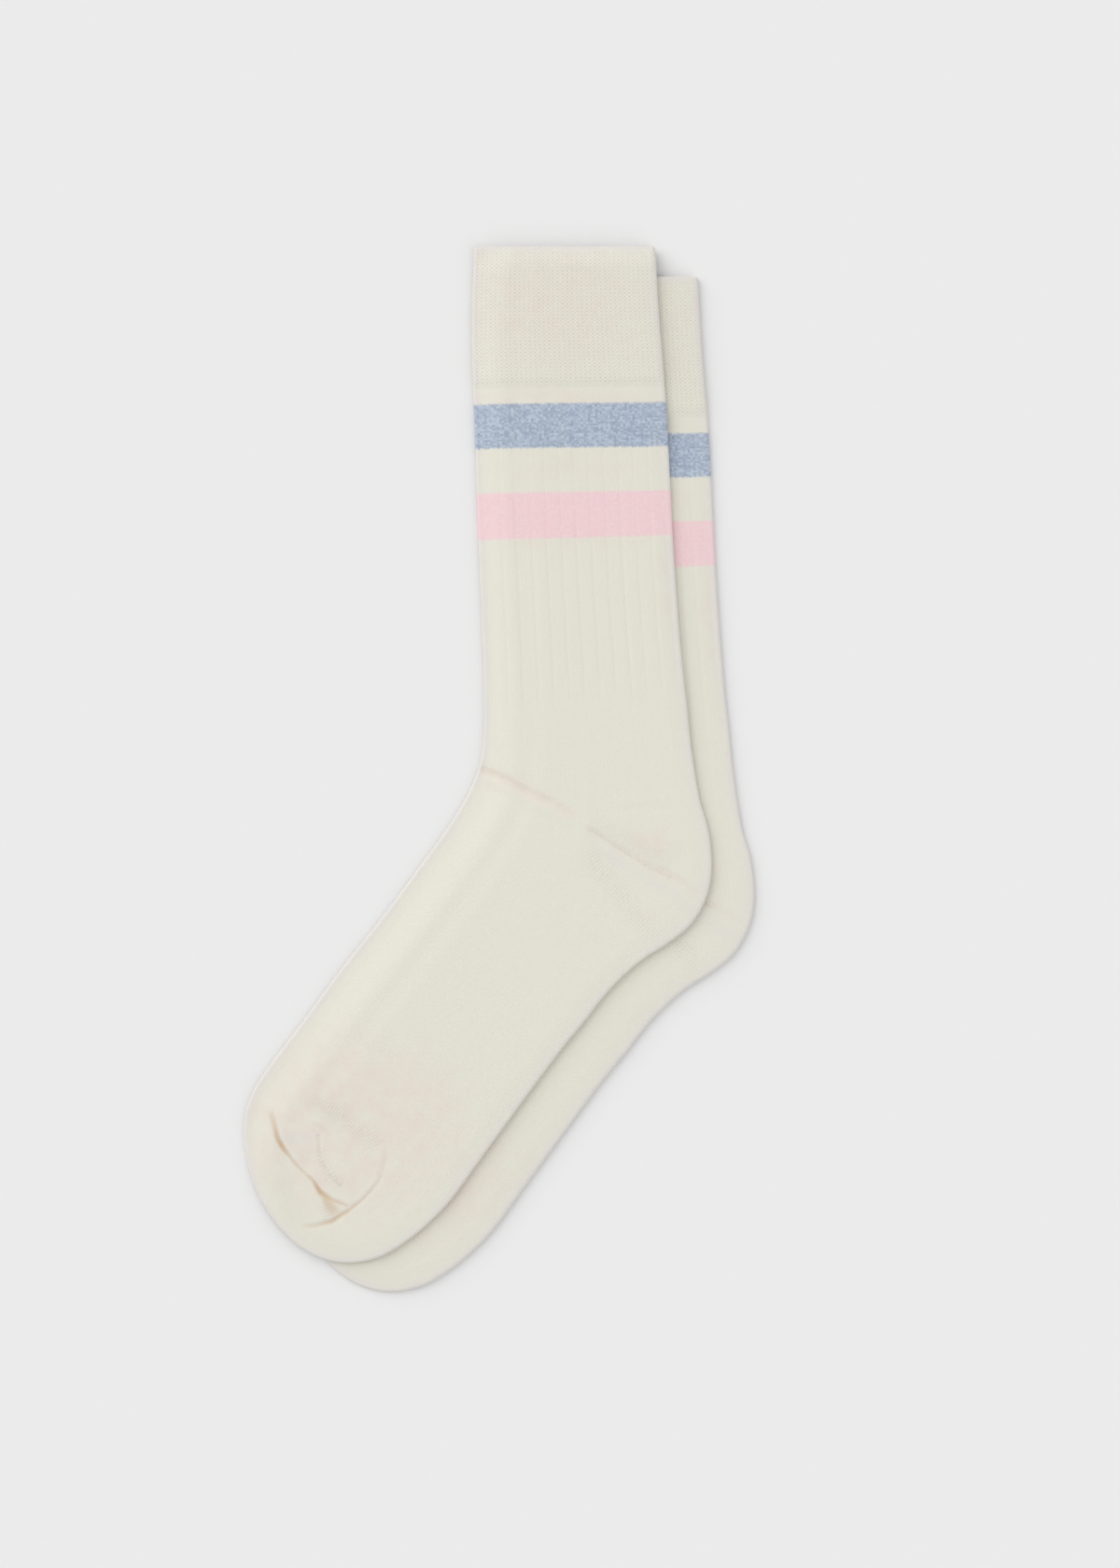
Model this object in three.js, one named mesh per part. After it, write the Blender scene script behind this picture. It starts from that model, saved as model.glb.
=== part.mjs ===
// A pair of ribbed crew socks laid flat, one on the other. Each sock is one knitted tube, in the
// stages it is knitted in: a double cuff, a ribbed leg, a heel pocket, a plain foot and a toe.
//
// Units are millimetres. Z is up and the socks lie on Z = 0. Y runs up the leg towards the cuff,
// and X runs across it, from the instep fold to the heel fold. The origin is under the middle
// of the pair.

import * as THREE from 'three'

// Cloth
const knitWall = 1.1 // one layer of the leg, heel, foot and toe
const cuffWall = 1.45 // one side of the cuff, which is knitted double
const airGap = 0.4 // between the two layers, at the folds
const loft = 0.6 // how much further the upper layer rises away from the folds
const loftRun = 9 // distance from a fold over which it rises
const leastAir = 0.12 // left between the layers at the bottom of a crease
const seamGap = 0.4 // between neighbouring pieces of one sock

// Ribs of the leg
const ribsAcross = 13 // in the width of the flat leg
const firstGroove = 0.583 // in ribs from the front fold
const grooveHalfWidth = 0.14 // in ribs
const grooveDepth = 0.4

// How the pair lies
const slideX = 18.4 // the lower sock lies this far towards the heel side of the upper one
const slideY = -12.8 // and this far down the leg
const restGap = 0.35 // between the two socks
const bridge = 3 // the upper sock leaves the lower one level for this far
const drop = 15.5 // and then comes down to the table over this run
const cuffBridge = 3 // the same, where it leaves the thicker cuff for the leg
const cuffDrop = 14

// Places in the list of courses below
const cuffEnd = 2
const ribEnd = 9
const legEnd = 11
const footStart = 18
const footEnd = 27
const toeEnd = 38
const apexShift = 0.35 // keeps the point of a pocket clear of the tube beside it

// One course is a knitted round laid flat: its front fold, the middle of the layer and its back
// fold, measured from the front corner of the cuff's rim.
const course = (name, frontX, frontY, middleX, middleY, backX, backY) => ({
  name,
  front: new THREE.Vector3(frontX, frontY, 0),
  middle: new THREE.Vector3(middleX, middleY, 0),
  back: new THREE.Vector3(backX, backY, 0),
})
const straight = (name, frontX, frontY, backX, backY) =>
  course(name, frontX, frontY, (frontX + backX) / 2, (frontY + backY) / 2, backX, backY)

// Only the back half of the round grows while a pocket is knitted, so the courses of the heel share
// their front and middle points, and so do those of the toe. A pocket opens like a fan round its
// middle point. The toe is linked to the instep where its last course meets the front fold.
const heelCourse = (name, backX, backY) => course(name, 2, -224, 49.6, -249.6, backX, backY)
const toeCourse = (name, backX, backY) => course(name, -97.9, -370, -65.2, -380.4, backX, backY)

const courses = [
  straight('rim', 0, 0, 77.6, 0),
  straight('cuff middle', -1, -30.4, 79.4, -30.4),
  straight('cuff end', -0.4, -61.2, 81.8, -60.4),
  straight('under the cuff', 0.3, -76.8, 82.8, -76),
  straight('stripes', 1, -100.6, 84, -99.4),
  straight('under the stripes', 2, -127.6, 85.3, -125.6),
  straight('calf', 3.1, -156, 87.1, -152.8),
  straight('low calf', 4.1, -182, 89, -175.6),
  straight('ribs run out', 4.3, -197, 90.2, -187),
  straight('ribs end', 4.3, -204.4, 91, -194),
  course('above the ankle', 3.7, -214.4, 49.6, -228, 93.3, -215.6),
  heelCourse('leg ends', 96.9, -237.4),
  heelCourse('heel upper side', 100.1, -248.4),
  heelCourse('heel back', 101.7, -259.6),
  heelCourse('heel low back', 101.6, -270.4),
  heelCourse('heel turns', 98.8, -280.8),
  heelCourse('heel under', 92.8, -290.6),
  heelCourse('heel sole', 83.2, -298.6),
  heelCourse('foot starts', 72.8, -305.2),
  course('high instep', -3.2, -235.8, 42, -264, 64, -312.6),
  course('instep', -12.2, -250.4, 30.8, -279.2, 56, -321),
  course('arch', -25, -268, 13.4, -298.4, 47.4, -332),
  straight('mid foot', -39.2, -287.2, 37.2, -344.4),
  straight('ball', -57.2, -310, 18.8, -369.2),
  course('before the toe', -74, -333, -37.6, -361.2, 3.2, -390.6),
  course('toe nears', -86.6, -349.6, -50.8, -370, -5.4, -402.6),
  course('toe neck', -94, -360.6, -59.2, -376, -10.8, -409.6),
  toeCourse('foot ends', -16, -415.2),
  toeCourse('toe sole', -28, -425.6),
  toeCourse('toe corner', -41, -433.2),
  toeCourse('toe end', -55.2, -435.6),
  toeCourse('toe turns', -67.2, -433),
  toeCourse('toe front', -77.2, -426.8),
  toeCourse('toe front middle', -85.2, -418.4),
  toeCourse('toe front upper', -91.4, -409.2),
  toeCourse('toe bend', -95.6, -399.2),
  toeCourse('toe back', -97.9, -389),
  toeCourse('toe upper', -98.8, -379),
  toeCourse('linking', -97.9, -370),
]
const pocketTip = (name) => courses.find((one) => one.name === name).back

// Creases of the upper layer: soft troughs along a line, from one end to the other.
const trough = (name, startX, startY, endX, endY, halfWidth, depth) => ({
  name,
  start: new THREE.Vector2(startX, startY),
  end: new THREE.Vector2(endX, endY),
  halfWidth,
  depth,
})
const creases = [
  trough('ankle bend', 4, -224.6, 47, -248, 4.5, 0.9),
  trough('heel gore', 52, -251, 93, -276, 3.5, 0.45),
  trough('toe fold, upper', -87.6, -369.2, -82, -388, 3.4, 0.8),
  trough('toe fold, lower', -82, -388, -64, -407, 3.4, 0.8),
  trough('toe pit', -64, -408, -48, -410, 3.4, 0.8),
  trough('toe gather, upper', -36.8, -384.4, -43.2, -401.2, 3, 0.5),
  trough('toe gather, lower', -43.2, -401.2, -60, -416.4, 3, 0.6),
]

const smooth = (t) => {
  const s = Math.min(Math.max(t, 0), 1)
  return s * s * (3 - 2 * s)
}

// The three lines that every course is read from
const line = (key) => new THREE.CatmullRomCurve3(courses.map((one) => one[key]), false, 'centripetal')
const lines = { front: line('front'), middle: line('middle'), back: line('back') }
const onLine = (key, at) => lines[key].getPoint(at / (courses.length - 1))

// The outline of a sock laid flat, anticlockwise: down the front fold, round the toe and up the back
function outlinePoints() {
  const perCourse = 4
  const steps = (last) => Array.from({ length: last * perCourse }, (_, i) => i / perCourse)
  const front = steps(footEnd).map((at) => onLine('front', at))
  const back = [...steps(toeEnd), toeEnd].reverse().map((at) => onLine('back', at))
  const all = [...front, ...back]
  return all.filter((point, i) => i === 0 || point.distanceTo(all[i - 1]) > 0.01)
}
const outline = outlinePoints()

// Directions out of the sock at the outline's points
const outward = outline.map((_, i) => {
  const before = outline[Math.max(i - 1, 0)]
  const after = outline[Math.min(i + 1, outline.length - 1)]
  return new THREE.Vector2(after.y - before.y, before.x - after.x).normalize()
})

// Distance to an edge, and how far along it the nearest point is
function edgeDistance(x, y, from, to) {
  const runX = to.x - from.x
  const runY = to.y - from.y
  const share = ((x - from.x) * runX + (y - from.y) * runY) / (runX ** 2 + runY ** 2)
  const along = Math.min(Math.max(share, 0), 1)
  return { along, distance: Math.hypot(x - from.x - along * runX, y - from.y - along * runY) }
}

// The nearest fold to a point inside the sock, and the direction outwards there
function nearestFold(x, y) {
  let best = { distance: Infinity }
  for (let i = 1; i < outline.length; i++) {
    const found = edgeDistance(x, y, outline[i - 1], outline[i])
    if (found.distance < best.distance) best = { ...found, edge: i }
  }
  const out = outward[best.edge - 1].clone().lerp(outward[best.edge], best.along).normalize()
  return { distance: best.distance, out }
}

function isInside(x, y) {
  let inside = false
  for (let i = 0, j = outline.length - 1; i < outline.length; j = i++) {
    const a = outline[i]
    const b = outline[j]
    if (a.y > y !== b.y > y && x < ((b.x - a.x) * (y - a.y)) / (b.y - a.y) + a.x) inside = !inside
  }
  return inside
}

// How far a point lies inside the outline, the open rim included; negative outside
function depthInside(x, y) {
  const rim = edgeDistance(x, y, outline[outline.length - 1], outline[0]).distance
  const nearest = Math.min(nearestFold(x, y).distance, rim)
  return isInside(x, y) ? nearest : -nearest
}

const foldRadius = (wall) => wall + airGap / 2
const puff = (distance) => loft * smooth(distance / loftRun)

// Depth of the creases at a point
function creaseDepth(x, y) {
  let depth = 0
  for (const one of creases) {
    const away = edgeDistance(x, y, one.start, one.end).distance
    depth = Math.max(depth, one.depth * (1 - smooth(away / one.halfWidth)))
  }
  return depth
}

// Height of the upper layer above its place at the folds
function layerRise(x, y, distance) {
  const flatLeast = leastAir - airGap
  const open = smooth(distance / knitWall)
  return Math.max(puff(distance) - creaseDepth(x, y) * open, flatLeast * open)
}

// Height at which the upper sock lies: over the lower one where it is, and else on the table.
// The lower sock's own place is measured from its own rim.
function liftOverLower(x, y) {
  const lowerX = x - slideX
  const lowerY = y - slideY
  const inside = depthInside(lowerX, lowerY)
  const carried = smooth((inside + bridge + drop) / drop)
  if (carried === 0) return 0
  const pastCuff = smooth((courses[cuffEnd].back.y - cuffBridge - lowerY) / cuffDrop)
  const wall = cuffWall + (knitWall - cuffWall) * pastCuff
  const raised = inside > 0 ? puff(nearestFold(lowerX, lowerY).distance) : 0
  const overRim = inside <= 0 && lowerY > 0 && lowerX > 0 ? puff(lowerX) : 0
  return carried * (2 * foldRadius(wall) + restGap + raised + overRim)
}

// One wall point of the cloth: its outer and its inner side
function wallPoint(x, y, { onTop, wall, grooved, lift }) {
  const fold = nearestFold(x, y)
  const radius = foldRadius(wall)
  const reach = Math.min(fold.distance, radius)
  const across = (radius - reach) / radius
  const up = Math.sqrt(1 - across * across) * (onTop ? 1 : -1)
  const normal = new THREE.Vector3(fold.out.x * across, fold.out.y * across, up)
  const plain = new THREE.Vector3(x, y, radius + radius * up)
  const inner = plain.clone().addScaledVector(normal, -wall)
  const outer = plain.clone().addScaledVector(normal, -grooved)
  const rise = onTop ? layerRise(x, y, fold.distance) : 0
  outer.z += rise + lift(outer.x, outer.y)
  inner.z += rise + lift(inner.x, inner.y)
  return { outer, inner }
}

// Share of the full groove at a place across the leg
function grooveShare(across) {
  const ribs = across * ribsAcross - firstGroove
  const away = Math.abs(ribs - Math.round(ribs))
  return Math.max(0, 1 - away / grooveHalfWidth)
}

// Columns round a flat tube. Those by a fold keep real distances from it, so that it stays round.
const foldSteps = [
  { distance: 0.35, share: 0.03 },
  { distance: 0.95, share: 0.07 },
  { distance: 1.9, share: 0.12 },
  { distance: 4, share: 0.2 },
]

// Places across a plain layer: close together where the upper sock bends over the lower one
const evenly = (from, to, count) =>
  Array.from({ length: count }, (_, i) => from + ((to - from) * (i + 0.5)) / count)
const plainColumns = (count) => [
  ...[0.075, 0.11, 0.15, 0.19, 0.23],
  ...evenly(0.25, 0.5, count / 2),
  0.5,
  ...evenly(0.5, 0.95, count / 2),
]

function ribColumns() {
  const list = []
  for (let rib = 0; rib < ribsAcross; rib++) {
    const groove = (rib + firstGroove) / ribsAcross
    for (const part of [-grooveHalfWidth, 0, grooveHalfWidth]) {
      list.push(groove + part / ribsAcross)
    }
  }
  return [...list.filter((at) => at > 0.06 && at < 0.94), 0.5].sort((a, b) => a - b)
}

// The ring of a piece as columns: a layer, a place across it, or a step in from a fold
function ringColumns({ across, under, ribbed, pocket }) {
  const plain = (count) => (pocket ? evenly(0.52, 0.93, count) : plainColumns(count))
  const top = ribbed ? ribColumns() : plain(across)
  const bottom = plain(under)
  const place = (onTop) => (at) => ({ onTop, at })
  const step = (onTop, side) => (one) => ({ onTop, side, ...one })
  const inwards = [...foldSteps].reverse()
  const apex = (onTop) => [{ onTop, at: 0.5 }]
  return [
    ...(pocket ? apex(true) : [{ onTop: true, at: 0 }, ...foldSteps.map(step(true, 'front'))]),
    ...top.map(place(true)),
    ...inwards.map(step(true, 'back')),
    { onTop: true, at: 1 },
    ...foldSteps.map(step(false, 'back')),
    ...bottom.reverse().map(place(false)),
    ...(pocket ? apex(false) : inwards.map(step(false, 'front'))),
  ]
}

// A column's plan point on the course at a place in the list
function planPoint(at, column, pocket) {
  const front = onLine('front', at)
  const middle = onLine('middle', at)
  const back = onLine('back', at)
  if (pocket) middle.addScaledVector(pocketTip(pocket).clone().sub(middle).normalize(), apexShift)
  let across = column.at
  if (column.side === 'front') {
    across = 0.5 * Math.min(column.distance / (front.distanceTo(middle) + 1e-9), column.share)
  }
  if (column.side === 'back') {
    across = 1 - 0.5 * Math.min(column.distance / (back.distanceTo(middle) + 1e-9), column.share)
  }
  const point =
    across < 0.5 ? front.lerp(middle, across * 2) : middle.lerp(back, across * 2 - 1)
  return { x: point.x, y: point.y, across }
}

// Places of a piece's courses, closer together towards its start where they crowd
function spreadCourses({ from, to, rows, crowd }) {
  return Array.from({ length: rows + 1 }, (_, i) => from + (to - from) * (i / rows) ** crowd)
}

// Draws the points of an end course back from a seam, each towards its neighbour
function drawBack(end, next) {
  end.forEach((point, i) => {
    const runX = next[i].x - point.x
    const runY = next[i].y - point.y
    const run = Math.hypot(runX, runY)
    if (run < 1e-6) return
    const share = Math.min(seamGap / 2 / run, 0.5)
    point.x += runX * share
    point.y += runY * share
  })
}

// One piece of a sock as a closed wall of cloth
function pieceGeometry(piece, lift) {
  const places = spreadCourses(piece)
  const columns = ringColumns(piece)
  const plan = places.map((at) => columns.map((column) => planPoint(at, column, piece.pocket)))
  const last = places.length - 1
  if (piece.from > 0) drawBack(plan[0], plan[1])
  drawBack(plan[last], plan[last - 1])

  const grid = plan.map((row, i) => {
    const fade = piece.ribbed ? smooth(ribEnd - places[i]) : 0
    return row.map(({ x, y, across }, j) => {
      const { onTop } = columns[j]
      const grooved = onTop ? grooveDepth * fade * grooveShare(across) : 0
      return wallPoint(x, y, { onTop, wall: piece.wall, grooved, lift })
    })
  })

  const positions = []
  const triangle = (...corners) => {
    const [a, b, c] = corners.map((corner) => corner.toArray().map((value) => value.toFixed(2)))
    const same = (one, other) => one.every((value, k) => value === other[k])
    if (same(a, b) || same(b, c) || same(c, a)) return
    positions.push(...[...a, ...b, ...c].map(Number))
  }
  const quad = (a, b, c, d) => {
    triangle(a, b, c)
    triangle(a, c, d)
  }
  const columnPairs = columns.map((_, j) => [j, (j + 1) % columns.length])
  if (piece.pocket) columnPairs.pop()

  for (let i = 0; i < last; i++) {
    for (const [j, k] of columnPairs) {
      const [above, below] = [grid[i], grid[i + 1]]
      quad(above[j].outer, below[j].outer, below[k].outer, above[k].outer)
      quad(above[j].inner, above[k].inner, below[k].inner, below[j].inner)
    }
  }
  for (const [j, k] of columnPairs) {
    const [first, end] = [grid[0], grid[last]]
    quad(first[j].outer, first[k].outer, first[k].inner, first[j].inner)
    quad(end[j].outer, end[j].inner, end[k].inner, end[k].outer)
  }

  const geometry = new THREE.BufferGeometry()
  geometry.setAttribute('position', new THREE.Float32BufferAttribute(positions, 3))
  geometry.computeVertexNormals()
  return geometry
}

const creamYarn = () => new THREE.MeshStandardMaterial({ color: 0xe9e6d8, roughness: 0.95, metalness: 0 })

// The cuff's rows crowd at its rim, where the upper sock comes down past the lower one. Across and
// under are the columns of the upper and the lower layer.
const plainPiece = { crowd: 1, wall: knitWall }
const pieces = [
  { name: 'cuff', from: 0, to: cuffEnd, rows: 7, crowd: 1.5, wall: cuffWall, across: 6, under: 4 },
  { ...plainPiece, name: 'leg', from: cuffEnd, to: legEnd, rows: 9, under: 4, ribbed: true },
  {
    ...plainPiece,
    name: 'heel',
    from: legEnd,
    to: footStart,
    rows: 7,
    across: 5,
    under: 3,
    pocket: 'heel turns',
  },
  { ...plainPiece, name: 'foot', from: footStart, to: footEnd, rows: 9, across: 8, under: 4 },
  {
    ...plainPiece,
    name: 'toe',
    from: footEnd,
    to: toeEnd,
    rows: 11,
    across: 7,
    under: 3,
    pocket: 'toe front',
  },
]

function sock(label, lift) {
  const group = new THREE.Group()
  group.name = label
  for (const piece of pieces) {
    const mesh = new THREE.Mesh(pieceGeometry(piece, lift), creamYarn())
    mesh.name = `${label}_${piece.name}`
    group.add(mesh)
  }
  return group
}

const pair = new THREE.Group()
pair.name = 'pair_of_socks'
const lower = sock('lower_sock', () => 0)
lower.position.set(slideX, slideY, 0)
pair.add(sock('upper_sock', liftOverLower), lower)

// Puts the origin on the table, under the middle of the pair
const middle = new THREE.Box3().setFromObject(pair).getCenter(new THREE.Vector3())
pair.position.set(-middle.x, -middle.y, 0)

export default pair
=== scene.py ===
# A pair of ribbed crew socks laid flat, one on the other. Each is one knitted tube, built here from
# the list of its courses, a knitted round at a time, as a closed shell of cloth.
# Plain numbers are millimetres and are turned into metres where a mesh is made.

import math

import bpy
import numpy as np
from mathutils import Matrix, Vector


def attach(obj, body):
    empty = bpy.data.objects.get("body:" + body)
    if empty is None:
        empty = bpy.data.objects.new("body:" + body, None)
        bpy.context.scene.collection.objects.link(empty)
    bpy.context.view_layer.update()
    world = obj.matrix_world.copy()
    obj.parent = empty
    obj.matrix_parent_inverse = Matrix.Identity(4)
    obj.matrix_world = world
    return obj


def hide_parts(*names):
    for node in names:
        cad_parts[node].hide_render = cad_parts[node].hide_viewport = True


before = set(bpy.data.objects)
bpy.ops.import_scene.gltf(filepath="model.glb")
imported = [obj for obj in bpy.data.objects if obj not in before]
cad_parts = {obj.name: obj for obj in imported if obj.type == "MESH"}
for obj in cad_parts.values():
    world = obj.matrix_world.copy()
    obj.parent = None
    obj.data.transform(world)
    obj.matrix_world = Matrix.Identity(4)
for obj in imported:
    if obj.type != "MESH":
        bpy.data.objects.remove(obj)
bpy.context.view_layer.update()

metre = 0.001  # one millimetre in metres
print("frame loaded:", len(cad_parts), "nodes")

cloth = {
    "knitWall": 1.1,  # one layer of the leg, heel, foot and toe
    "cuffWall": 1.45,  # one side of the cuff, which is knitted double
    "wallEases": 5,  # the cuff thins to the leg over its last stretch
    "airGap": 0.4,  # between the two layers, at the folds
    "leastAir": 0.1,  # at the bottom of a crease
    "loft": 0.6,  # how much further the upper layer rises away from the folds
    "loftRun": 9,
    "wales": 156,  # stitches in a round
    "coursePitch": 0.79,  # from one round to the next
    "ripple": 0.08,  # height of the slow unevenness of the upper layer
    "drawnUp": 0.3,  # share of a crease by which the layer below is drawn up
    "edgeLightReach": 5,  # how far the painted edge shade and sheen of a fold reaches in
}

lying = {
    "slide": (18.4, -12.8),  # the lower sock from the upper one
    "restGap": 0.35,
    "bridge": 3,  # the upper sock leaves the lower one level for this far
    "drop": 15.5,  # and comes down to the table over this run
    "cuffBridge": 3,  # the same where it leaves the cuff for the thinner leg
    "cuffDrop": 14,
}

detail = {
    "outlineParts": 6,  # straight runs of the outline for each course of the list
    "pathParts": 8,  # straight runs of a crease between two of its knots
    "foldSteps": [0.22, 0.5, 0.85, 1.25, 1.8, 2.6, 3.6],  # columns beside a fold
    "foldShare": 0.064,  # the share of a layer that those columns take
    "apexShare": 0.004,  # the least from a pocket's apex to its next column
    "leastHalf": 34,  # keeps the columns in order where a half course is short
    "leastRun": 0.01,  # shorter runs of the outline are left out
    "readings": 400,  # of a piece's length, before its rows are placed
    "sharpFrom": 55,  # degrees between two faces
}

# Places in the list of courses
cuffEnd, ribEnd, legEnd, heelTurn, footStart, footEnd, toeTurn, toeEnd = 2, 9, 11, 15, 18, 27, 33, 38


def heelCourse(name, back):
    return (name, (2, -224), (49.6, -249.6), back)


def toeCourse(name, back):
    return (name, (-97.9, -370), (-65.2, -380.4), back)


# Each round laid flat, from the front corner of the cuff's rim: its front fold, the middle of the
# layer where that isn't halfway, and its back fold. A pocket's rounds share their first two points.
courses = [
    ("rim", (0, 0), None, (77.6, 0)),
    ("cuff middle", (-1, -30.4), None, (79.4, -30.4)),
    ("cuff end", (-0.4, -61.2), None, (81.8, -60.4)),
    ("under the cuff", (0.3, -76.8), None, (82.8, -76)),
    ("stripes", (1, -100.6), None, (84, -99.4)),
    ("under the stripes", (2, -127.6), None, (85.3, -125.6)),
    ("calf", (3.1, -156), None, (87.1, -152.8)),
    ("low calf", (4.1, -182), None, (89, -175.6)),
    ("ribs run out", (4.3, -197), None, (90.2, -187)),
    ("ribs end", (4.3, -204.4), None, (91, -194)),
    ("above the ankle", (3.7, -214.4), (49.6, -228), (93.3, -215.6)),
    heelCourse("leg ends", (96.9, -237.4)),
    heelCourse("heel upper side", (100.1, -248.4)),
    heelCourse("heel back", (101.7, -259.6)),
    heelCourse("heel low back", (101.6, -270.4)),
    heelCourse("heel turns", (98.8, -280.8)),
    heelCourse("heel under", (92.8, -290.6)),
    heelCourse("heel sole", (83.2, -298.6)),
    heelCourse("foot starts", (72.8, -305.2)),
    ("high instep", (-3.2, -235.8), (42, -264), (64, -312.6)),
    ("instep", (-12.2, -250.4), (30.8, -279.2), (56, -321)),
    ("arch", (-25, -268), (13.4, -298.4), (47.4, -332)),
    ("mid foot", (-39.2, -287.2), None, (37.2, -344.4)),
    ("ball", (-57.2, -310), None, (18.8, -369.2)),
    ("before the toe", (-74, -333), (-37.6, -361.2), (3.2, -390.6)),
    ("toe nears", (-86.6, -349.6), (-50.8, -370), (-5.4, -402.6)),
    ("toe neck", (-94, -360.6), (-59.2, -376), (-10.8, -409.6)),
    toeCourse("foot ends", (-16, -415.2)),
    toeCourse("toe sole", (-28, -425.6)),
    toeCourse("toe corner", (-41, -433.2)),
    toeCourse("toe end", (-55.2, -435.6)),
    toeCourse("toe turns", (-67.2, -433)),
    toeCourse("toe front", (-77.2, -426.8)),
    toeCourse("toe front middle", (-85.2, -418.4)),
    toeCourse("toe front upper", (-91.4, -409.2)),
    toeCourse("toe bend", (-95.6, -399.2)),
    toeCourse("toe back", (-97.9, -389)),
    toeCourse("toe upper", (-98.8, -379)),
    toeCourse("linking", (-97.9, -370)),
]

# Across a crease, counted in widths of its trough from the middle
creaseSection = {
    "ridgeFrom": 0.35,
    "ridgeFalls": 1.35,
    "ridgeRun": 1.6,
    "blushReach": 2,
}
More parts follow.
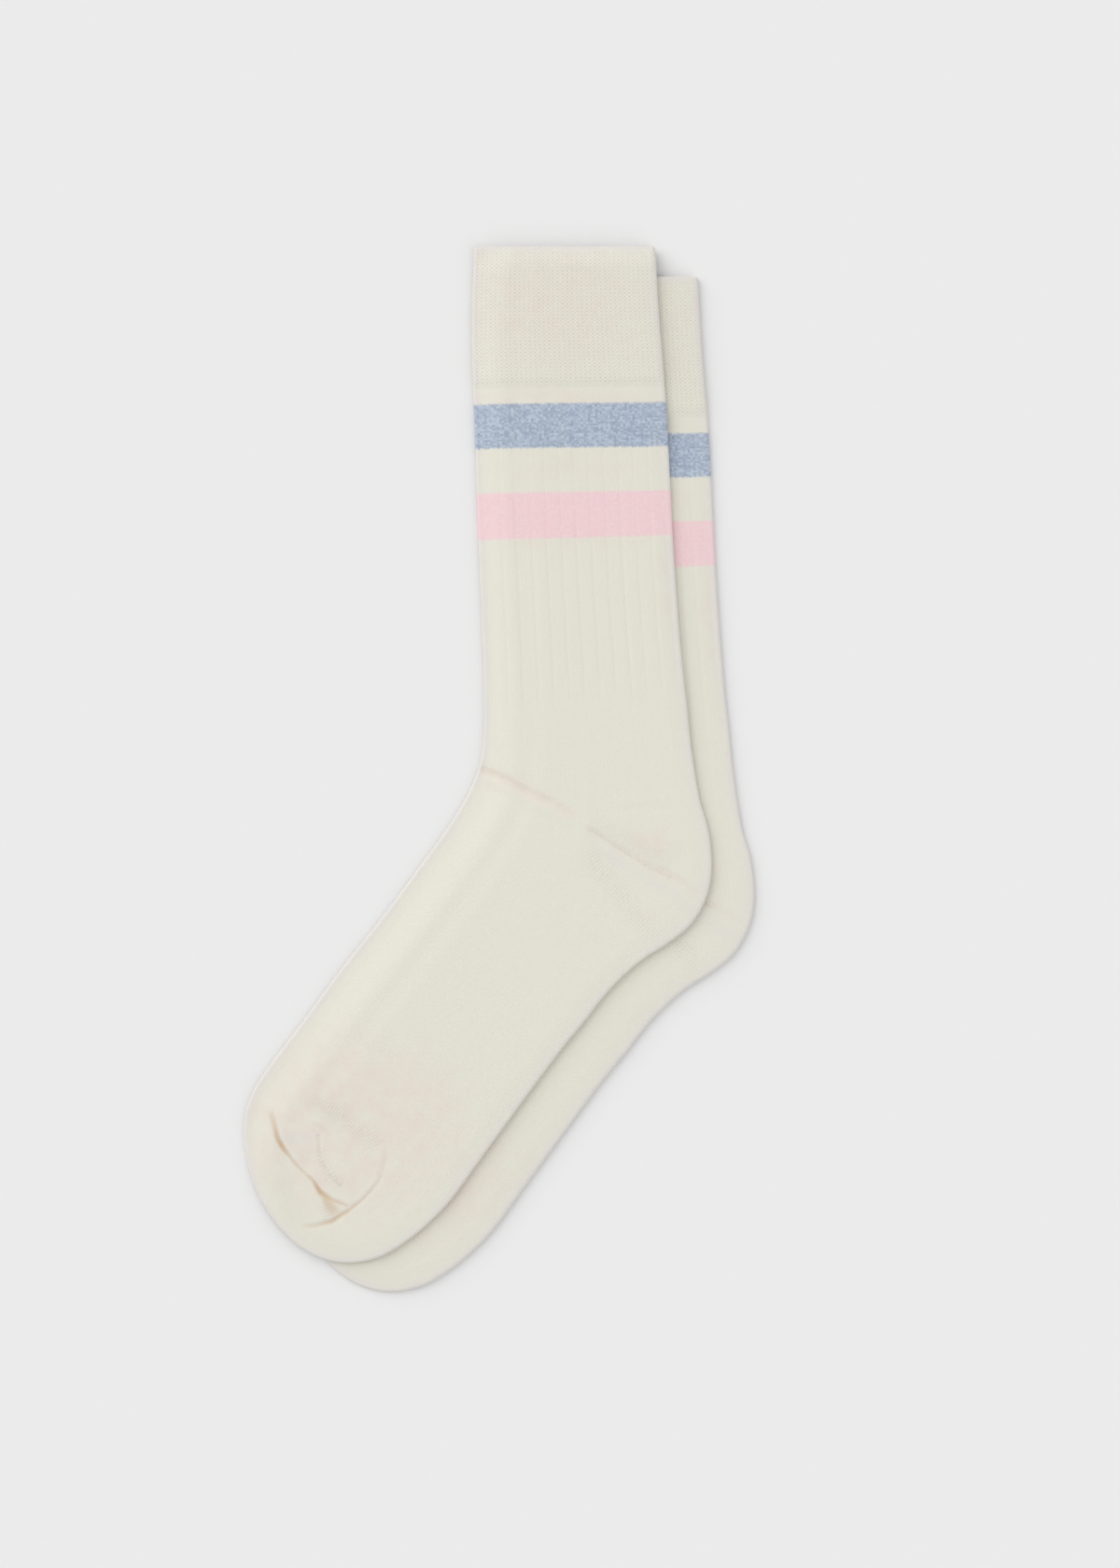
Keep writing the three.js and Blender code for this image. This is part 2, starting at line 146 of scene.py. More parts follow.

# Creases, placed one by one. A knot of a path has its place, the trough's width at half its depth, the
# depth, and how strongly painted crease shade darkens and tints the yarn there. The ridge is on the left
# of the path (1), on its right (-1) or on both sides (0). Fade is how far each end takes to run out, and
# blush a warmer look around it.
creases = {
    "ankle bend": {"ridge": 0.26, "side": -1, "fade": (1, 8), "blush": 0.9, "knots": [
        (2.5, -224, 2.4, 0.7, 0.17), (12.8, -228, 2.5, 0.74, 0.13), (23.6, -233.8, 2.5, 0.66, 0.07),
        (33.6, -238.8, 2.4, 0.52, 0.04), (39.8, -242.4, 2.2, 0.28, 0.03), (46.4, -246.4, 1.8, 0.16, 0)]},
    "heel gore": {"ridge": 0.12, "side": 1, "fade": (2, 12), "blush": 0.8, "knots": [
        (47.2, -248.7, 1.5, 0.14, 0.06), (53, -251.8, 1.6, 0.2, 0.05), (62.2, -258, 1.9, 0.26, 0.03),
        (75.6, -266.2, 2.4, 0.3, 0.03), (86.8, -271.6, 2.4, 0.24, 0.02), (99.8, -280, 2, 0.1, 0)]},
    "heel side": {"ridge": 0.12, "side": 1, "fade": (8, 12), "blush": 0, "knots": [
        (56, -243.4, 2.4, 0.06, 0), (66, -241.4, 2.6, 0.1, 0), (80, -240.6, 2.6, 0.1, 0),
        (92, -240.8, 2.4, 0.06, 0)]},
    "foot's first rows": {"ridge": 0.1, "side": 1, "fade": (6, 10), "blush": 0.25, "knots": [
        (50.6, -254, 4, 0.06, 0), (54, -263, 5, 0.1, 0), (62, -274.7, 6, 0.12, 0),
        (70, -287.4, 6, 0.1, 0), (78, -298, 5, 0.08, 0)]},
    "instep hollow": {"ridge": 0.04, "side": 0, "fade": (6, 8), "blush": 0, "knots": [
        (39.4, -272, 4, 0.05, 0), (41.2, -281, 5, 0.1, 0), (40.4, -290, 5, 0.08, 0), (38, -299, 4, 0.04, 0)]},
    "toe fold": {"ridge": 0.14, "side": 0, "fade": (3, 1), "blush": 0.2, "knots": [
        (-87, -369.4, 2.2, 0.16, 0.16), (-86.4, -372.9, 2.2, 0.28, 0.34), (-85, -377.3, 1.9, 0.46, 0.55),
        (-83.9, -381.9, 1.7, 0.62, 0.85), (-82.4, -384.8, 1.8, 0.76, 1), (-80.7, -387.3, 1.4, 0.66, 0.8),
        (-78.4, -390.2, 1, 0.62, 0.4), (-75, -394.2, 0.9, 0.6, 0.32), (-71.6, -397.6, 0.9, 0.6, 0.32),
        (-68.7, -400.2, 1, 0.62, 0.5), (-67, -402.8, 1.3, 0.74, 0.95), (-65.6, -405, 1.7, 0.86, 1),
        (-63.2, -407, 1.9, 0.74, 0.85), (-60.4, -408.6, 1.5, 0.52, 0.55), (-56.4, -410.1, 1.3, 0.42, 0.42),
        (-53, -411.6, 1.2, 0.36, 0.34)]},
    "toe pit": {"ridge": 0, "side": 0, "fade": (1.5, 2.5), "blush": 0, "knots": [
        (-64.4, -406.2, 2, 0.5, 0.7), (-61.7, -410, 4.1, 0.36, 0.5), (-59.5, -413.4, 4.2, 0.3, 0.4),
        (-58.6, -416, 2.6, 0.22, 0.3)]},
    "toe gather": {"ridge": 0.05, "side": -1, "fade": (8, 5), "blush": 0.2, "knots": [
        (-37, -381, 1.3, 0.16, 0.04), (-37.4, -388.4, 1.3, 0.24, 0.08), (-38.6, -394.8, 1.3, 0.3, 0.12),
        (-40.8, -400.6, 1.2, 0.36, 0.16), (-43.2, -403.6, 1.2, 0.42, 0.2), (-45.5, -406.2, 1.2, 0.46, 0.24),
        (-48.1, -408.8, 1.2, 0.5, 0.28), (-51.7, -411.6, 1.3, 0.52, 0.38), (-54.4, -413.5, 1.5, 0.54, 0.5),
        (-57.3, -415.2, 1.7, 0.56, 0.66),
        (-60.8, -417.6, 1.8, 0.48, 0.6), (-64.6, -418.6, 1.7, 0.38, 0.46), (-69, -419.6, 1.6, 0.26, 0.3),
        (-75.6, -419.8, 1.6, 0.16, 0.1)]},
    "toe link's end": {"ridge": 0.08, "side": 0, "fade": (1, 1), "blush": 0.4, "knots": [
        (-69.6, -375.6, 1.1, 0.12, 0.1), (-65.2, -377.6, 1.2, 0.2, 0.14), (-62.4, -380.6, 1.1, 0.12, 0.1)]},
    "toe gore": {"ridge": 0.06, "side": 0, "fade": (1, 5), "blush": 0.3, "knots": [
        (-66.9, -380, 1.6, 0.3, 0.2), (-66, -383.4, 1.3, 0.22, 0.12), (-66, -386.6, 1.5, 0.22, 0.14),
        (-65.6, -390, 1.6, 0.12, 0.04), (-63.4, -395, 1.8, 0.07, 0), (-59.6, -400, 2, 0.05, 0)]},
    "toe linking": {"ridge": 0.05, "side": 0, "fade": (2, 4), "blush": 0, "knots": [
        (-66, -380, 1.6, 0.08, 0), (-82, -373.6, 1.6, 0.08, 0.02), (-96, -370.4, 1.6, 0.08, 0)]},
}

# Soft rises of the cloth between the creases: the middle of each, its reach each way and its height
swells = {
    "toe flap": ((-58, -396), (14, 13), 0.3),
    "toe link": ((-76, -378), (9, 6), 0.15),
    "toe end": ((-70, -424), (22, 7), 0.15),
    "heel cup": ((82, -256), (14, 11), 0.2),
    "heel sole": ((78, -282), (12, 9), 0.2),
}

# Where the stitches are pulled open into strokes: the middle line of the place, its reach and
# strength, the way from stroke to stroke, and how far the strokes lean from square to the line
openings = {
    "heel gore": {"path": [(48, -246), (62, -253.5), (74, -260), (86, -264.5)],
        "reach": 8, "strength": 0.7, "pitch": 1.5, "lean": 0.85},
    "foot's first rows": {"path": [(49.8, -257), (53, -265), (61.6, -275.4), (69.8, -286.8), (78.4, -298.8)],
        "reach": 8, "strength": 0.75, "pitch": 1.47, "lean": 0.15},
    "toe neck": {"path": [(-71, -364), (-63, -368.6), (-57.3, -372.2), (-51.6, -376.7), (-45.8, -381.9),
                          (-42, -387.4)],
        "reach": 7.5, "strength": 1, "pitch": 1.27, "lean": -0.12},
    "toe gore": {"path": [(-66.4, -385), (-65.8, -390), (-63.6, -394.6), (-59.6, -399.6), (-55, -403.4)],
        "reach": 5, "strength": 1, "pitch": 1.45, "lean": 0.1},
    "toe link": {"path": [(-80, -379), (-70, -393)],
        "reach": 5, "strength": 0.35, "pitch": 1.2, "lean": 1.3},
    "toe pit": {"path": [(-63.6, -407.6), (-62.2, -413), (-61, -418.8)],
        "reach": 5, "strength": 1, "pitch": 1.5, "lean": 0.1},
}
openingFade = 3  # how far an opened place takes to run out at each end

# The slow unevenness of cloth that was smoothed by hand, as waves: what x and y are divided by,
# the phase and the weight
ripples = [(9.7, 31, 0.6, 1), (-23, 14.3, 2.1, 1), (5.9, -17, 4, 0.7), (13, 7.7, 1.3, 0.6)]


def smooth(t):
    t = np.clip(t, 0, 1)
    return t * t * (3 - 2 * t)


def stepLengths(line):
    return np.linalg.norm(np.diff(line, axis=0), axis=1)


# A smooth line through the knots, read at knot number `at`: the open centripetal curve
def readLine(knots, at):
    at = np.asarray(at, float).ravel()
    cell = np.minimum(at.astype(int), len(knots) - 2)
    share = (at - cell)[:, None]
    padded = np.vstack([2 * knots[0] - knots[1], knots, 2 * knots[-1] - knots[-2]])
    before, start, end, after = (padded[cell + k] for k in range(4))

    def interval(a, b):
        return np.sqrt(np.linalg.norm(b - a, axis=1, keepdims=True))

    none = 1e-4  # between knots that share a place, as in a pocket
    gaps = [interval(before, start), interval(start, end), interval(end, after)]
    gaps[1] = np.where(gaps[1] < none, 1, gaps[1])
    for k in (0, 2):
        gaps[k] = np.where(gaps[k] < none, gaps[1], gaps[k])
    into = (start - before) / gaps[0] - (end - before) / (gaps[0] + gaps[1]) + (end - start) / gaps[1]
    outOf = (end - start) / gaps[1] - (after - start) / (gaps[1] + gaps[2]) + (after - end) / gaps[2]
    into = into * gaps[1]
    outOf = outOf * gaps[1]
    square = -3 * start + 3 * end - 2 * into - outOf
    cube = 2 * start - 2 * end + into + outOf
    return start + into * share + square * share ** 2 + cube * share ** 3


frontKnots = np.array([front for _, front, _, _ in courses], float)
backKnots = np.array([back for _, _, _, back in courses], float)
middleKnots = np.array([
    middle or ((front[0] + back[0]) / 2, (front[1] + back[1]) / 2)
    for _, front, middle, back in courses
], float)
cuffCourse = -backKnots[1, 1]  # from one course of the list to the next in the cuff


# The front fold, the middle and the back fold at places in the list of courses
def linesAt(places):
    return [readLine(knots, places) for knots in (frontKnots, middleKnots, backKnots)]


# The outline of a sock laid flat, anticlockwise: down the front fold, round the toe, up the back
def outlineOf():
    parts = detail["outlineParts"]
    front = readLine(frontKnots, np.arange(footEnd * parts) / parts)
    back = readLine(backKnots, np.arange(toeEnd * parts, -1, -1) / parts)
    line = np.vstack([front, back])
    return line[np.r_[True, stepLengths(line) >= detail["leastRun"]]]


outline = outlineOf()
rimLine = np.array([outline[-1], outline[0]])


def outwardAt(line):
    before = line[np.maximum(np.arange(len(line)) - 1, 0)]
    after = line[np.minimum(np.arange(len(line)) + 1, len(line) - 1)]
    turned = np.stack([after[:, 1] - before[:, 1], before[:, 0] - after[:, 0]], axis=1)
    return turned / np.linalg.norm(turned, axis=1, keepdims=True)


outward = outwardAt(outline)


# Nearest place on a line for each point: distance, edge, share of that edge, and side
def nearestOn(line, points, atOnce=4000):
    start = line[:-1]
    run = line[1:] - start
    long = (run ** 2).sum(axis=1)
    found = []
    for first in range(0, len(points), atOnce):
        offset = points[first:first + atOnce, None, :] - start[None]
        along = np.clip((offset * run).sum(axis=2) / long, 0, 1)
        away = offset - along[..., None] * run
        square = (away ** 2).sum(axis=2)
        edge = square.argmin(axis=1)
        rows = np.arange(len(edge))
        best = offset[rows, edge]
        side = run[edge, 0] * best[:, 1] - run[edge, 1] * best[:, 0]
        found.append((np.sqrt(square[rows, edge]), edge, along[rows, edge], np.sign(side)))
    return [np.concatenate(part) for part in zip(*found)]


def nearestFold(points):
    distance, edge, along, _ = nearestOn(outline, points)
    out = outward[edge] * (1 - along[:, None]) + outward[edge + 1] * along[:, None]
    return distance, out / np.linalg.norm(out, axis=1, keepdims=True)


def isInside(points):
    level = 1e-9  # a lower rise is taken as this, so that nothing is divided by 0
    inside = np.zeros(len(points), bool)
    for a, b in zip(outline, np.roll(outline, 1, axis=0)):
        spans = (a[1] > points[:, 1]) != (b[1] > points[:, 1])
        rise = b[1] - a[1] if abs(b[1] - a[1]) > level else level
        crossing = (b[0] - a[0]) * (points[:, 1] - a[1]) / rise + a[0]
        inside ^= spans & (points[:, 0] < crossing)
    return inside


def foldRadius(wall):
    return wall + cloth["airGap"] / 2


def puff(distance):
    return cloth["loft"] * smooth(distance / cloth["loftRun"])


# Height at which the upper sock lies: over the lower one where it is, and else on the table
def liftOverLower(points):
    lower = points - np.array(lying["slide"])
    distance = nearestOn(outline, lower)[0]
    rim = nearestOn(rimLine, lower)[0]
    within = isInside(lower)
    inside = np.where(within, 1, -1) * np.minimum(distance, rim)
    carried = smooth((inside + lying["bridge"] + lying["drop"]) / lying["drop"])
    pastCuff = smooth((backKnots[cuffEnd, 1] - lying["cuffBridge"] - lower[:, 1]) / lying["cuffDrop"])
    wall = cloth["cuffWall"] + (cloth["knitWall"] - cloth["cuffWall"]) * pastCuff
    overRim = ~within & (lower[:, 1] > 0) & (lower[:, 0] > 0)
    raised = np.where(within, puff(distance), np.where(overRim, puff(lower[:, 0]), 0))
    return carried * (2 * foldRadius(wall) + lying["restGap"] + raised)


def smoothPath(path):
    knots = np.array(path, float)
    parts = detail["pathParts"]
    return readLine(knots, np.arange((len(knots) - 1) * parts + 1) / parts)


# How far along a path a nearest place is, and how much is left to its end
def alongPath(line, edge, share):
    steps = stepLengths(line)
    reached = np.r_[0, np.cumsum(steps)]
    along = reached[edge] + share * steps[edge]
    return along, reached[-1] - along


# 1 in the middle of a place and 0 from its reach on
def nearPlace(points, middle, reach):
    away = (points - np.array(middle)) / np.array(reach)
    return 1 - smooth(np.linalg.norm(away, axis=1))


# The creases at each point: depth of the troughs, height of the ridges, the painted crease shade and the
# blush
def creasesAt(points):
    section = creaseSection
    trough, ridge, creaseShade, blush = np.zeros((4, len(points)))
    for one in creases.values():
        knots = np.array(one["knots"], float)
        line = smoothPath(knots[:, :2])
        distance, edge, share, side = nearestOn(line, points)
        knot = (edge + share) / detail["pathParts"]
        width, depth, dyeAndCreaseShade = (np.interp(knot, np.arange(len(knots)), knots[:, k]) for k in (2, 3, 4))
        along, left = alongPath(line, edge, share)
        ends = smooth(along / one["fade"][0]) * smooth(left / one["fade"][1])
        ends = np.where((along <= 0) | (left <= 0), 0, ends)
        across = distance / width
        shape = (1 - smooth(across)) * ends
        trough = np.maximum(trough, depth * shape)
        # painted crease shade: darkens and tints the yarn deep in the trough
        creaseShade = np.maximum(creaseShade, dyeAndCreaseShade * shape)
        blush = np.maximum(blush, one["blush"] * (1 - smooth(across / section["blushReach"])) * ends)
        onSide = 1 if one["side"] == 0 else (side == one["side"])
        falling = smooth((across - section["ridgeFalls"]) / section["ridgeRun"])
        bump = smooth(across - section["ridgeFrom"]) * (1 - falling)
        ridge = np.maximum(ridge, one["ridge"] * bump * ends * onSide)
    for middle, reach, height in swells.values():
        ridge = ridge + height * nearPlace(points, middle, reach)
    return trough, ridge, creaseShade, blush


# How far the stitches are pulled open at each point, and the number of the stroke there
def opennessAt(points):
    openness, strokes = np.zeros((2, len(points)))
    for one in openings.values():
        line = smoothPath(one["path"])
        distance, edge, share, side = nearestOn(line, points)
        along, left = alongPath(line, edge, share)
        ends = smooth(np.minimum(along, left) / openingFade)
        opened = one["strength"] * (1 - smooth(distance / one["reach"])) * ends
        number = (along + one["lean"] * side * distance) / one["pitch"]
        strokes = np.where(opened > openness, number, strokes)
        openness = np.maximum(openness, opened)
    return openness, strokes


def rippleAt(points):
    x, y = points.T
    waves = sum(weight * np.sin(x / long + y / wide + phase) for long, wide, phase, weight in ripples)
    return cloth["ripple"] * waves / 3


# One wall point of the cloth: its outer and its inner side, and the direction outwards.
# Layer is 1 for the upper layer and -1 for the one it lies on; bulge is the share of the ridges.
def wallPoints(plan, layer, wall, lift, bulge):
    distance, out = nearestFold(plan)
    radius = foldRadius(wall)
    across = np.clip(1 - distance / radius, 0, 1)
    up = np.sqrt(1 - across ** 2) * layer
    normal = np.column_stack([out * across[:, None], up])
    plain = np.column_stack([plan, radius + radius * up])
    inner = plain - normal * wall[:, None]

    trough, ridge, creaseShade, blush = creasesAt(plan)
    clear = smooth(distance / cloth["knitWall"])
    away = smooth(distance / cloth["loftRun"])
    lowest = (cloth["leastAir"] - cloth["airGap"]) * clear
    rise = puff(distance) - trough * clear + (ridge * bulge + rippleAt(plan) * bulge) * away
    over = np.maximum(rise, lowest)
    under = cloth["drawnUp"] * trough * away
    shift = np.where(layer > 0, over, under)
    outer = plain.copy()
    outer[:, 2] += shift
    inner[:, 2] += shift
    if lift is not None:
        outer[:, 2] += lift(outer[:, :2])
        inner[:, 2] += lift(inner[:, :2])
    return outer, inner, normal, creaseShade, blush


walesFlat = cloth["wales"] / 2  # across one layer


# Places in the list of courses, and the number of the knitted course at each
def courseNumbers():
    apart = 0.05
    fine = np.arange(0, toeEnd + apart / 2, apart)
    front, _, back = (stepLengths(line) for line in linesAt(fine))
    between = fine[:-1] + apart / 2
    inPocket = ((between > legEnd) & (between < footStart)) | (between > footEnd)
    step = np.where(inPocket, back / 2, (front + back) / 2)
    return fine, np.r_[0, np.cumsum(step)] / cloth["coursePitch"]


courseAt, courseNumber = courseNumbers()


# A ring of columns: the layer, and a share across it or a distance in from one of its folds
def ringColumns(step, pocket):
    reach = detail["foldShare"]
    shares = np.arange(round(reach * walesFlat / step), round((1 - reach) * walesFlat / step) + 1)
    shares = shares * step / walesFlat
    if pocket:
        shares = np.r_[0.5, shares[shares > 0.5 + detail["apexShare"]]]
    folds = detail["foldSteps"]
    inwards = folds[::-1]
    columns = [] if pocket else [(1, "front", 0)] + [(1, "front", d) for d in folds]
    columns += [(1, "share", s) for s in shares]
    columns += [(1, "back", d) for d in inwards] + [(1, "back", 0)] + [(-1, "back", d) for d in folds]
    columns += [(-1, "share", s) for s in shares[::-1]]
    if not pocket:
        columns += [(-1, "front", d) for d in inwards] + [(-1, "front", 0)]
    return columns


def planGrid(places, columns):
    front, middle, back = linesAt(places)
    halves = {
        kind: np.maximum(np.linalg.norm(fold - middle, axis=1), detail["leastHalf"])
        for kind, fold in (("front", front), ("back", back))
    }
    across = np.empty((len(places), len(columns)))
    for j, (_, kind, value) in enumerate(columns):
        if kind == "share":
            across[:, j] = value
        elif kind == "front":
            across[:, j] = 0.5 * value / halves["front"]
        else:
            across[:, j] = 1 - 0.5 * value / halves["back"]
    near = across[..., None] * 2
    toMiddle = front[:, None] + (middle - front)[:, None] * near
    toBack = middle[:, None] + (back - middle)[:, None] * (near - 1)
    return np.where(near < 1, toMiddle, toBack), across


# Wale and course numbers in a pocket. Its stitches stand square to the first course on one side of
# the turning line and to the last one on the other, and follow the fold at the back.
def pocketStitches(plan, across, first, last):
    beyond = 1.2  # how far past the fold the wales are counted, in lengths of the course
    apex = middleKnots[first]
    reach = np.clip(across * 2 - 1, 0, 1)
    numbers = []
    for place, sign in ((first, 1), (last, -1)):
        course = readLine(backKnots, [place])[0] - apex
        long = np.linalg.norm(course)
        course = course / long
        down = np.array([course[1], -course[0]]) * sign
        offset = plan - apex
        straight = np.clip((offset * course).sum(axis=2) / long, 0, beyond)
        index = straight + (reach - straight) * smooth(reach) ** 2
        start = np.interp(place, courseAt, courseNumber)
        rows = start + sign * (offset * down).sum(axis=2) / cloth["coursePitch"]
        numbers.append(np.stack([walesFlat * (0.5 + 0.5 * index), rows], axis=2))
    return numbers


# Where the rows of a piece's mesh lie in the list of courses
def rowPlaces(piece):
    fine = np.linspace(piece["from"], piece["to"], detail["readings"])
    speed = np.maximum.reduce([stepLengths(line) for line in linesAt(fine)])
    step = np.interp((fine[1:] + fine[:-1]) / 2, *piece["rowSteps"])
    wanted = np.r_[0, np.cumsum(speed / step)]
    rows = math.ceil(wanted[-1])
    places = np.interp(np.arange(rows + 1) / rows * wanted[-1], wanted, fine)
    turn = piece.get("turn")
    if turn:
        places[np.abs(places - turn).argmin()] = turn
    return places


def newObject(name, data):
    made = bpy.data.objects.new(name, data)
    bpy.context.scene.collection.objects.link(made)
    return made


# Keeps a number or a vector at each point of a mesh
def storeOnPoints(mesh, key, values):
    kind, field = ("FLOAT_VECTOR", "vector") if values.shape[1] == 3 else ("FLOAT", "value")
    mesh.attributes.new(key, kind, "POINT").data.foreach_set(field, values.ravel())


# A closed shell from the rows of its outer and inner side. Strips close its two ends.
def shellMesh(name, outer, inner, rimRows, stitches, values, pocket):
    rows, columns = outer.shape[:2]
    count = rows * columns
    outside = np.arange(count).reshape(rows, columns)
    rims = [2 * count + k * columns + np.arange(columns) for k in range(len(rimRows))]
    if pocket:
        outside[:, 0], outside[:, -1] = outside[0, 0], outside[0, -1]
    else:
        outside[:, -1] = outside[:, 0]
        rims = [np.r_[rim[:-1], rim[0]] for rim in rims]
    inside = outside + count

    corners, numbers = [], []

    def strip(above, below, aboveUv, belowUv, turned):
        quad = [above[:-1], below[:-1], below[1:], above[1:]]
        uv = [aboveUv[:-1], belowUv[:-1], belowUv[1:], aboveUv[1:]]
        if turned:
            quad, uv = quad[::-1], uv[::-1]
        corners.append(np.stack(quad, axis=1))
        numbers.append(np.stack(uv, axis=1))

    for i in range(rows - 1):
        side = stitches[i]
        strip(outside[i], outside[i + 1], side[0], side[1], False)
        strip(inside[i], inside[i + 1], side[0], side[1], True)
    start = [inside[0], *rims, outside[0]]
    for one, other in zip(start, start[1:]):
        strip(one, other, stitches[0][0], stitches[0][0], False)
    strip(outside[-1], inside[-1], stitches[-1][1], stitches[-1][1], False)

    corners, numbers = np.vstack(corners), np.vstack(numbers)
    kept = corners != np.roll(corners, 1, axis=1)
    sides = kept.sum(axis=1)
    corners, numbers, kept = corners[sides > 2], numbers[sides > 2], kept[sides > 2]
    used, loops = np.unique(corners[kept], return_inverse=True)
    points = np.vstack([outer.reshape(-1, 3), inner.reshape(-1, 3), *rimRows])[used] * metre
    ends = np.cumsum(kept.sum(axis=1))
    faces = np.split(loops.ravel(), ends[:-1])

    mesh = bpy.data.meshes.new(name)
    mesh.from_pydata(points.tolist(), [], [face.tolist() for face in faces])
    layer = mesh.uv_layers.new(name="knit")
    layer.data.foreach_set("uv", numbers[kept].ravel())
    for key, value in values.items():
        flat = value.reshape(count, -1)
        storeOnPoints(mesh, key, np.vstack([flat, flat, *[flat[:columns] for _ in rimRows]])[used])
    storeOnPoints(mesh, "outerSide", (used < count).astype(float)[:, None])
    mesh.shade_smooth()
    mesh.set_sharp_from_angle(angle=math.radians(detail["sharpFrom"]))
    return mesh


# The stages of a sock: where each begins and ends in the list of courses, how fine its mesh is
# across and along, and the course at which a pocket turns
pieces = [
    {"part": "cuff", "from": 0, "to": cuffEnd, "waleStep": 1,
     "rowSteps": ([0, 0.1, 0.25, 2], [0.5, 0.6, 1.5, 1.5])},
    {"part": "leg", "from": cuffEnd, "to": legEnd, "waleStep": 0.5, "rowSteps": ([2, 11], [1.5, 1.5])},
    {"part": "heel", "from": legEnd, "to": footStart, "waleStep": 0.75,
     "rowSteps": ([11, 18], [1, 1]), "turn": heelTurn},
    {"part": "foot", "from": footStart, "to": footEnd, "waleStep": 0.75,
     "rowSteps": ([18, 24, 25, 27], [1.5, 1.5, 0.85, 0.85])},
    {"part": "toe", "from": footEnd, "to": toeEnd, "waleStep": 0.5, "rowSteps": ([27, 38], [0.7, 0.7]),
     "turn": toeTurn},
]

# How deep the ribs of the leg are drawn, by place in the list of courses
ribStrength = ([cuffEnd, 2.6, 4.5, 6, 7.5, ribEnd], [0, 0.5, 0.6, 1, 0.9, 0])

pairMiddle = (outline.min(axis=0) + np.minimum(0, lying["slide"])
              + outline.max(axis=0) + np.maximum(0, lying["slide"])) / 2
socks = [
    {"name": "lowerSock", "node": "lower_sock", "at": np.array(lying["slide"]) - pairMiddle,
     "lift": None, "bulge": 0.25},
    {"name": "upperSock", "node": "upper_sock", "at": -pairMiddle, "lift": liftOverLower, "bulge": 1},
]

# Where the cream is warmer: the middle of a place, its reach each way and the strength
warmPlaces = {
    "toe": ((-50, -377), (72, 56), 1.7),
    "heel": ((75, -256), (18, 11), 1),
    "cuff": ((34, -26), (66, 44), 0.85),
    "cuff's end": ((40, -66), (60, 8), 0.8),
    "between the stripes": ((42, -96), (60, 13), 0.45),
    "under the stripes": ((40, -127), (60, 5), 0.7),
    "instep": ((8, -228), (20, 9), 0.6),
    "back of the calf": ((84, -142), (9, 44), 0.6),
}


def warmthAt(points):
    warmth = np.zeros(len(points))
    for middle, reach, strength in warmPlaces.values():
        warmth = np.maximum(warmth, strength * nearPlace(points, middle, reach))
    return np.minimum(warmth, 1)


# Where the cream is paler beside a gore and a linking: the middle line, its reach and the strength
paleBands = {
    "under the heel gore": {"path": [(50.8, -253.4), (60.8, -263), (70.8, -268.6), (81.8, -275.6),
                                     (89.8, -281.4), (97, -284.4)], "reach": 4.5, "strength": 0.5},
    "beside the toe link": {"path": [(-83, -380.6), (-75, -382.4), (-67.6, -381)],
        "reach": 4, "strength": 0.6},
}


def paleAt(points):
    edgeLightAndPale = np.zeros(len(points))
    for one in paleBands.values():
        distance = nearestOn(smoothPath(one["path"]), points)[0]
        edgeLightAndPale = np.maximum(edgeLightAndPale, one["strength"] * (1 - smooth(distance / one["reach"])))
    return edgeLightAndPale


# The rows of the round rim, from the inner to the outer side
def rimRowsOf(outer, inner, angles=(-60, -30, 0, 30, 60)):
    middle, half = (outer[0] + inner[0]) / 2, (outer[0] - inner[0]) / 2
    reach = np.linalg.norm(half, axis=1, keepdims=True) * np.array([0, 1, 0])
    return [middle + half * math.sin(a) + reach * math.cos(a) for a in map(math.radians, angles)]


